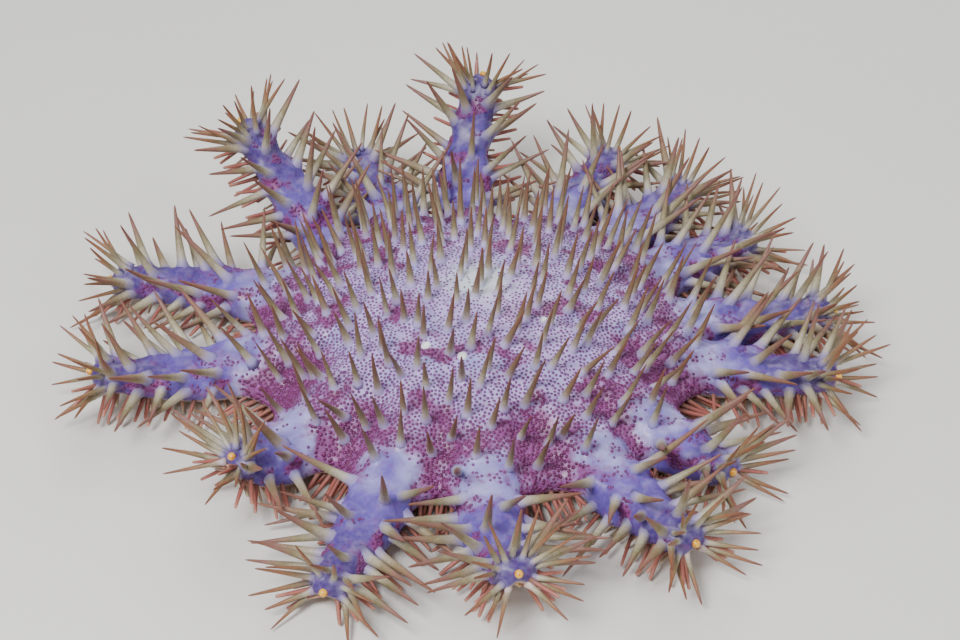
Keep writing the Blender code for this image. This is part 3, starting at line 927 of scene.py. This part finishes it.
def spineMaterial(name, stops, sheathed):
    # The sheath carries the skin's own shade; the shaft runs through the stops
    tree = Tree(name)
    vary = tree.attribute("vary")
    place = tree.maths("ADD", tree.attribute("along"), tree.fit(vary, 0, 1, -0.08, 0.08))
    place = tree.maths("ADD", place, tree.fit(tree.noise(1.6 * mm), 0.3, 0.7, -0.05, 0.05))
    base = tree.ramp(place, stops)
    base = tree.mix(tree.fit(vary, 0.55, 1, 0, 0.3), base, spineColours["warm"])
    dark = tree.fit(tree.noise(0.45 * mm, 2), 0.35, 0.7, 0.0, 0.3)
    base = tree.mix(dark, base, spineColours["grain"])
    if sheathed:
        pale = tree.mix(tree.fit(tree.attribute("along"), -0.02, 0.12, 0.25, 0.6), skinShade(tree),
                        skinColours["mound"])
        base = tree.mix(tree.attribute("sheath"), base, pale)
    tree.bump(tree.noise(0.3 * mm, 2), 0.05 * mm, 0.5)
    return tree.finish(base, tree.fit(vary, 0, 1, 0.42, 0.55), 0.45, soft=0.05)


def buildSpines():
    c = spineColours
    discStops = [(0.12, c["base"]), (0.32, c["olive"]), (0.58, c["brown"]), (0.92, c["rust"])]
    armStops = [(0.18, c["base"]), (0.45, c["olive"]), (0.7, c["mauve"]), (1.0, c["rust"])]
    tipStops = [(0.05, c["base"]), (0.3, c["olive"]), (0.62, c["orange"]), (1.0, c["rust"])]
    oralStops = [(0.0, c["mauve"]), (0.35, c["salmon"]), (0.7, c["salmon"]), (1.0, c["salmonTip"])]
    grooveStops = [(0.0, c["salmonTip"]), (1.0, c["base"])]
    sets = [
        ("discSpines", "disc", "spines", discStops, True),
        ("armSpines", "arm", "spines", armStops, True),
        ("tipSpines", "tip", "spines", tipStops, True),
        ("oralSpines", "oral", "oral_spines", oralStops, False),
        ("grooveSpines", "groove", "oral_spines", grooveStops, False),
    ]
    for name, kind, slot, stops, sheathed in sets:
        chosen = [p for p in places if p["kind"] == kind]
        piece = makeSpines(name, chosen, kind)
        piece.data.materials.append(spineMaterial(name + "Finish", stops, sheathed))
        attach(piece, "root")
        print(name, len(chosen), "faces", len(piece.data.polygons))


buildSpines()

# Papulae: small soft buds all over the dome and in patches on the arms
papulaValues = {
    "discCount": 10500,
    "rimCount": 4000,  # tries round the edge of the disc
    "armCount": 1800,  # tries on each arm
    "radius": 0.225 * mm,
    "skirt": 0.42 * mm,  # radius at the skin
    "height": 0.21 * mm,
    "jitter": 0.28 * mm,
    "apart": 0.94 * mm,  # what they are spread out to
    "skirtDepth": 0.06 * mm,  # how deep the skirt's edge lies in the skin
    "rootDepth": 0.15 * mm,
    "sizes": (0.84, 1.02),  # outside and inside the magenta
    "belts": (0, 0.56, 0.8, 2),  # shares of the radius where one piece ends and the next starts
    "halo": 0.36,  # how far the skirt turns from the skin's shade to magenta
}
papulaColours = {  # the darkest and the lightest of each kind
    "inMagenta": (colour(84, 18, 66), colour(110, 32, 88)),
    "elsewhere": (colour(92, 42, 100), colour(118, 58, 120)),
}
skinTree = BVHTree.FromPolygons(skinPoints.tolist(), [list(p.vertices) for p in skin.data.polygons])


def onSkin(points):
    # The nearest place on the finished skin, and its normal
    found = [skinTree.find_nearest(Vector(p)) for p in points]
    return np.array([f[0] for f in found]), np.array([f[1] for f in found])


def evenShare(count):
    # Shares of the radius that give every bud the same area of the sloping dome
    share = np.linspace(0, 1, 400)
    line = domePoint(azimuths[11] + 0.27, share)  # beside an arm
    steps = np.linalg.norm(np.diff(line, axis=0), axis=-1)
    area = np.concatenate([[0], np.cumsum(steps * (share[1:] + share[:-1]) / 2)])
    return np.interp((np.arange(count) + 0.5) / count, area / area[-1], share)


def spreadOut(points, distance, rounds=4):
    # Each point moves off its nearest seven by a third of what each gap lacks to the distance
    for _ in range(rounds):
        tree = KDTree(len(points))
        for i, point in enumerate(points.tolist()):
            tree.insert(point, i)
        tree.balance()
        near = np.array([[found[1] for found in tree.find_n(p, 8)] for p in points.tolist()])
        gaps = points[:, None] - points[near]
        lengths = np.linalg.norm(gaps, axis=-1, keepdims=True) + 1e-9
        points = points + (gaps / lengths * np.maximum(distance - lengths, 0)).sum(1) / 3
    return points


def discBuds():
    # A golden-angle spiral over the dome, loosened and spread out, and random places round the rim
    n = papulaValues["discCount"]
    share = evenShare(n)
    theta = np.arange(n) * goldenAngle
    points = domePoint(theta, share)
    m = papulaValues["rimCount"]
    side = rng.uniform(0, 2 * np.pi, m)
    high = np.radians(rng.uniform(-35, 80, m))
    radius, top, bottom, t = rimOf(side)
    r = radius - body["rimRound"] * level(t * 3) * (1 - np.cos(high))
    z = (top + bottom) / 2 + (top - bottom) / 2 * np.sin(high)
    rim = np.stack([r * np.cos(side), r * np.sin(side), z], -1)
    points = np.concatenate([points, rim]) + rng.normal(0, papulaValues["jitter"], (n + m, 3))
    inner = spreadOut(onSkin(points[:n])[0], papulaValues["apart"])
    points, normals = onSkin(np.concatenate([inner, points[n:]]))
    patches = np.concatenate([discPatch(theta, share), discPatch(side, 1.09 - 0.05 * np.sin(high))])
    return points, normals, patches


def armBuds():
    # Random places over the top and the sides of each arm
    points, patches = [], []
    for index, arm in enumerate(arms):
        n = papulaValues["armCount"]
        s = rng.uniform(0, 0.9, n)
        angle = rng.uniform(-1.9, 1.9, n)
        points.append(armSkin(arm, s, angle))
        patches.append(armPatch(index, s, angle))
    points, normals = onSkin(np.concatenate(points))
    return points, normals, np.concatenate(patches)


def thinned(points, keep, distance):
    # Keeps those wanted that are not near an earlier one: a grid cell takes one
    cell = np.floor(points / distance).astype(int)
    _, first = np.unique(cell, axis=0, return_index=True)
    chosen = np.zeros(len(points), bool)
    chosen[first] = True
    return chosen & keep


def farFromSpines(points, kinds, share):
    # True where no such spine's root is nearer than this share of its foot's radius
    chosen = [p for p in places if p["kind"] in kinds]
    roots = np.array([p["root"] for p in chosen])
    feet = np.array([p["foot"] for p in chosen]) * share
    return inParts(lambda part: (np.linalg.norm(part[:, None] - roots, axis=-1) > feet).all(1), points)


def makeBuds(name, points, normals, patches, marks, strength):
    # A skirt ring in the skin, a smaller ring above it and a rounded top
    v = papulaValues
    n, sides = len(points), 8
    plain, magenta = v["sizes"]
    size = (plain + (magenta - plain) * marks["blotch"]) * strength * (1 + rng.normal(0, 0.1, n))
    ring = circles(normals, sides)
    lean = unit(normals + rng.normal(0, 0.12, (n, 3)))
    low = points - v["skirtDepth"] * normals
    high = points + (v["height"] * size * 0.72)[:, None] * lean
    rings = np.stack([low[:, None] + (v["skirt"] * size)[:, None, None] * ring,
                      high[:, None] + (v["radius"] * size)[:, None, None] * ring], 1)
    top = points + (v["height"] * size)[:, None] * lean
    bottom = points - v["rootDepth"] * normals
    every = np.concatenate([rings.reshape(n, -1, 3), bottom[:, None], top[:, None]], 1)
    quads, fans = tubeFaces(n, 2, sides)
    piece = meshFrom(name, every, quads, fans)
    along = np.array([0] * sides + [0.8] * sides + [0, 1.0])
    setAttribute(piece, "along", np.tile(along, n))
    setAttribute(piece, "vary", np.repeat(rng.uniform(0, 1, n), len(along)))
    for key in shaderMarks:
        setAttribute(piece, key, np.repeat(marks[key], len(along)))
    addPatches(piece, patches, along, sides)
    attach(piece, "root")
    print(name, n, "faces", len(piece.data.polygons))
    return piece


def budMaterial():
    # The skirt carries the skin's shade, turning dark magenta to the top
    tree = Tree("papulaFinish")
    rise = tree.fit(tree.attribute("along"), 0.25, 0.75)
    dark = tree.mix(tree.attribute("vary"), *papulaColours["inMagenta"])
    plain = tree.mix(tree.attribute("vary"), *papulaColours["elsewhere"])
    top = tree.mix(tree.fit(tree.attribute("blotch"), 0, 0.6), plain, dark)
    halo = tree.mix(papulaValues["halo"], skinShade(tree), skinColours["magenta"])
    base = tree.mix(rise, halo, top)
    return tree.finish(base, 0.4, 0.5, soft=0.05)


def buildBuds():
    finish = budMaterial()
    points, normals, patches = discBuds()
    marks = markings(points, normals)
    keep = farFromSpines(points, ("disc", "arm"), 0.8)
    bare = 0.8 * marks["crown"] + 0.12 * level(soft(points, 5 * mm, 31) - 0.2) * (1 - marks["blotch"])
    bare += level(marks["onArm"] * 1.3) * (1 - 1.6 * marks["blotch"])
    keep &= rng.uniform(0, 1, len(points)) > bare
    inner = papulaValues["discCount"]
    keep[inner:] = thinned(points, keep, papulaValues["apart"])[inner:]
    belts = papulaValues["belts"]
    names = ("papulaeInner", "papulaeMiddle", "papulaeOuter")
    for name, start, end in zip(names, belts, belts[1:]):
        chosen = keep & (marks["share"] >= start) & (marks["share"] < end)
        some = {key: value[chosen] for key, value in marks.items()}
        strength = 0.9 + 0.2 * level(some["share"] * 1.5)
        piece = makeBuds(name, points[chosen], normals[chosen], patches[chosen], some, strength)
        piece.data.materials.append(finish)
    points, normals, patches = armBuds()
    marks = markings(points, normals)
    keep = (marks["blotch"] > 0.2) & (marks["under"] < 0.4)
    keep &= farFromSpines(points, ("disc", "arm", "tip"), 0.95)
    keep = thinned(points, keep, 0.85 * papulaValues["apart"])
    some = {key: value[keep] for key, value in marks.items()}
    piece = makeBuds("papulaeArms", points[keep], normals[keep], patches[keep], some, 0.95)
    piece.data.materials.append(finish)


buildBuds()

# Raised white sieve plates and the yellow eyespots
plates = {
    # Azimuth, distance from the middle and radius
    "sieves": [(243, 20 * mm, 1.05 * mm), (265, 21.6 * mm, 1.05 * mm), (324, 18 * mm, 0.85 * mm)],
    "rise": 0.75 * mm,
    "sieveColours": (colour(206, 202, 218), colour(246, 246, 250)),
    "eye": 0.82 * mm,  # radius
    "eyeColours": (colour(206, 92, 30), colour(236, 180, 50)),
}


def knob(centre, axis, radius, rise, sides):
    # A low dome over a circle: height = rise * cos(a), radius = r * sin(a), with a sunk edge
    a = np.linspace(np.pi * 0.62, 0.12, 8)[:, None, None]
    return closedGrid(centre + rise * np.cos(a) * axis + radius * np.sin(a) * circles(axis, sides))


def plateMaterial():
    tree = Tree("sieveFinish")
    lines = tree.cells(0.28 * mm)
    base = tree.mix(tree.fit(lines, 0.1, 0.6), *plates["sieveColours"])
    tree.bump(lines, 0.08 * mm, 0.8)
    return tree.finish(base, 0.6, 0.3, soft=0.1)


def eyeMaterial():
    tree = Tree("eyespotFinish")
    base = tree.mix(tree.fit(tree.cells(0.5 * mm), 0.15, 0.5), *plates["eyeColours"])
    return tree.finish(base, 0.25, 0.6, soft=0.15, coat=0.3)


def buildPlates():
    # A knob on the dome for each sieve plate, and one on each arm's tip for its eyespot
    parts = []
    for azimuth, distance, radius in plates["sieves"]:
        theta = np.array(np.radians(azimuth))
        share = distance / rimOf(theta)[0]
        point = onSkin([domePoint(theta, share)])[0][0]
        parts.append(knob(point, domeNormal(theta, share), radius, plates["rise"], 20))
    piece = joined("sievePlates", parts)
    piece.data.materials.append(plateMaterial())
    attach(piece, "root")
    parts = []
    for arm in arms:
        middle, facing, _, up = armFrame(arm, np.array(1.0))
        centre = middle + 0.2 * mm * up - 0.3 * mm * facing
        parts.append(knob(centre, facing, plates["eye"], plates["eye"], 16))
    piece = joined("eyespots", parts)
    piece.data.materials.append(eyeMaterial())
    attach(piece, "root")


buildPlates()
print("plates and eyespots ready")

# Underside: tube feet in two rows along every groove, and spines round the mouth
feet = {
    "perArm": 15,  # in a row on each arm
    "perDisc": 17,  # in a row on the disc's underside
    "length": 1.3 * mm,
    "radius": 0.3 * mm,
    "apart": 0.55 * mm,  # of a row from the middle of its groove
    "mouthSpines": 60,
    "mouthRing": 5.6 * mm,
    "mouthHeight": 1.3 * mm,
    "mouthLength": 3.4 * mm,
    "mouthThick": 0.3 * mm,
    "colours": (colour(196, 150, 96), colour(214, 180, 124), colour(232, 214, 176)),
}


def stalks(name, roots, ways, length, radius):
    # A stalk that narrows and swells again to a flat sucker: radius by five rings along its length
    n, sides = len(roots), 7
    t = np.array([-0.25, 0.1, 0.6, 0.82, 0.98])
    girth = np.array([1.0, 0.85, 0.7, 1.1, 1.05]) * radius
    middle = roots[:, None] + (t * length)[:, None] * ways[:, None]
    points = middle[:, :, None] + girth[:, None, None] * circles(ways, sides)[:, None]
    points = points.reshape(n, -1, 3)
    points = np.concatenate([points, middle[:, :1], (roots + length * ways)[:, None]], 1)
    points[..., 2] = np.maximum(points[..., 2], 0.02 * mm)
    quads, fans = tubeFaces(n, len(t), sides)
    piece = meshFrom(name, points, quads, fans)
    setAttribute(piece, "along", np.tile(np.concatenate([np.repeat(t, sides), [0, 1]]), n))
    return piece


def footMaterial():
    tree = Tree("tubeFootFinish")
    base = tree.ramp(tree.attribute("along"), list(zip((0.0, 0.7, 1.0), feet["colours"])))
    return tree.finish(base, 0.35, 0.5, soft=0.2)


def buildFeet():
    # Two rows under each arm, two more from its root to the mouth, and the ring of mouth spines
    roots, ways = [], []
    for index, arm in enumerate(arms):
        s = np.linspace(0.03, 0.84, feet["perArm"])
        _, _, side, up = armFrame(arm, s)
        roof = armSkin(arm, s, np.full(len(s), np.pi))
        for hand in (-1, 1):
            roots.append(roof + hand * feet["apart"] * side + 0.2 * mm * up)
            ways.append(unit(-up + 0.25 * hand * side))
        out, side = outAndSide(azimuths[index])
        r = np.linspace(7.5 * mm, body["cut"] - 1.5 * mm, feet["perDisc"])
        z = undersideAt(r / body["cut"], rimOf(azimuths[index])[2]) + groove["depth"]
        for hand in (-1, 1):
            place = r[:, None] * out + hand * feet["apart"] * side
            place[:, 2] = z
            roots.append(place)
            ways.append(np.tile(unit(np.array([0, 0, -1]) + 0.2 * hand * side), (len(r), 1)))
    piece = stalks("tubeFeet", np.concatenate(roots), np.concatenate(ways), feet["length"], feet["radius"])
    piece.data.materials.append(footMaterial())
    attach(piece, "root")
    out = direction(fullTurn(feet["mouthSpines"]), np.zeros(feet["mouthSpines"]))
    low = out * feet["mouthRing"] + (0, 0, feet["mouthHeight"])
    ways = unit(-out + (0, 0, -0.12))
    piece = stalks("mouthSpines", low, ways, feet["mouthLength"], feet["mouthThick"])
    piece.data.materials.append(bpy.data.materials["grooveSpinesFinish"])
    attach(piece, "root")
    print("tube feet", sum(len(r) for r in roots))


buildFeet()

# Floor, light and camera
stage = {
    "floor": colour(226, 224, 220),
    "floorPatches": colour(200, 198, 194),
    "floorSize": 6.0,
    "target": (1.7 * mm, 7 * mm, 9 * mm),
    "distance": 450 * mm,
    "elevation": 36.5,
    "frameWidth": 201.6 * mm,  # what the photo takes in at the target
    "lights": [  # place, size and power
        ("key", (-0.25, -0.35, 0.55), 0.3, 6.2),
        ("fill", (0.5, -0.25, 0.35), 0.5, 1.6),
        ("back", (0.1, 0.5, 0.45), 0.4, 2.2),
    ],
    "lightsAim": (0, 0, 0.01),
    "sky": (0.9, 0.93, 1, 1),
    "skyStrength": 0.3,
}


def buildFloor():
    half = stage["floorSize"] / 2
    points = [(-half, -half, 0), (half, -half, 0), (half, half, 0), (-half, half, 0)]
    floor = meshFrom("floor", points, [(0, 1, 2, 3)])
    tree = Tree("floorFinish")
    patches = tree.fit(tree.noise(60 * mm), 0.3, 0.7, 0, 0.06)
    base = tree.mix(patches, stage["floor"], stage["floorPatches"])
    floor.data.materials.append(tree.finish(base, 0.75, 0.2))


def areaLight(name, place, size, power):
    data = bpy.data.lights.new(name, "AREA")
    data.shape = "DISK"
    data.size = size
    data.energy = power
    lamp = bpy.data.objects.new(name, data)
    lamp.location = place
    way = Vector(stage["lightsAim"]) - Vector(place)
    lamp.rotation_euler = way.to_track_quat("-Z", "Y").to_euler()
    bpy.context.scene.collection.objects.link(lamp)


def buildLight():
    for light in stage["lights"]:
        areaLight(*light)
    world = bpy.data.worlds.new("studio")
    world.use_nodes = True
    background = world.node_tree.nodes["Background"]
    background.inputs["Color"].default_value = stage["sky"]
    background.inputs["Strength"].default_value = stage["skyStrength"]
    bpy.context.scene.world = world


def buildCamera():
    data = bpy.data.cameras.new("camera")
    data.sensor_width = 36
    data.lens = data.sensor_width * stage["distance"] / stage["frameWidth"]
    data.clip_start, data.clip_end = 0.01, 20
    camera = bpy.data.objects.new("camera", data)
    rise = np.radians(stage["elevation"])
    back = Vector((0, -np.cos(rise), np.sin(rise)))
    camera.location = Vector(stage["target"]) + back * stage["distance"]
    camera.rotation_euler = (-back).to_track_quat("-Z", "Y").to_euler()
    bpy.context.scene.collection.objects.link(camera)
    bpy.context.scene.camera = camera


buildFloor()
buildLight()
buildCamera()
print("stage ready")
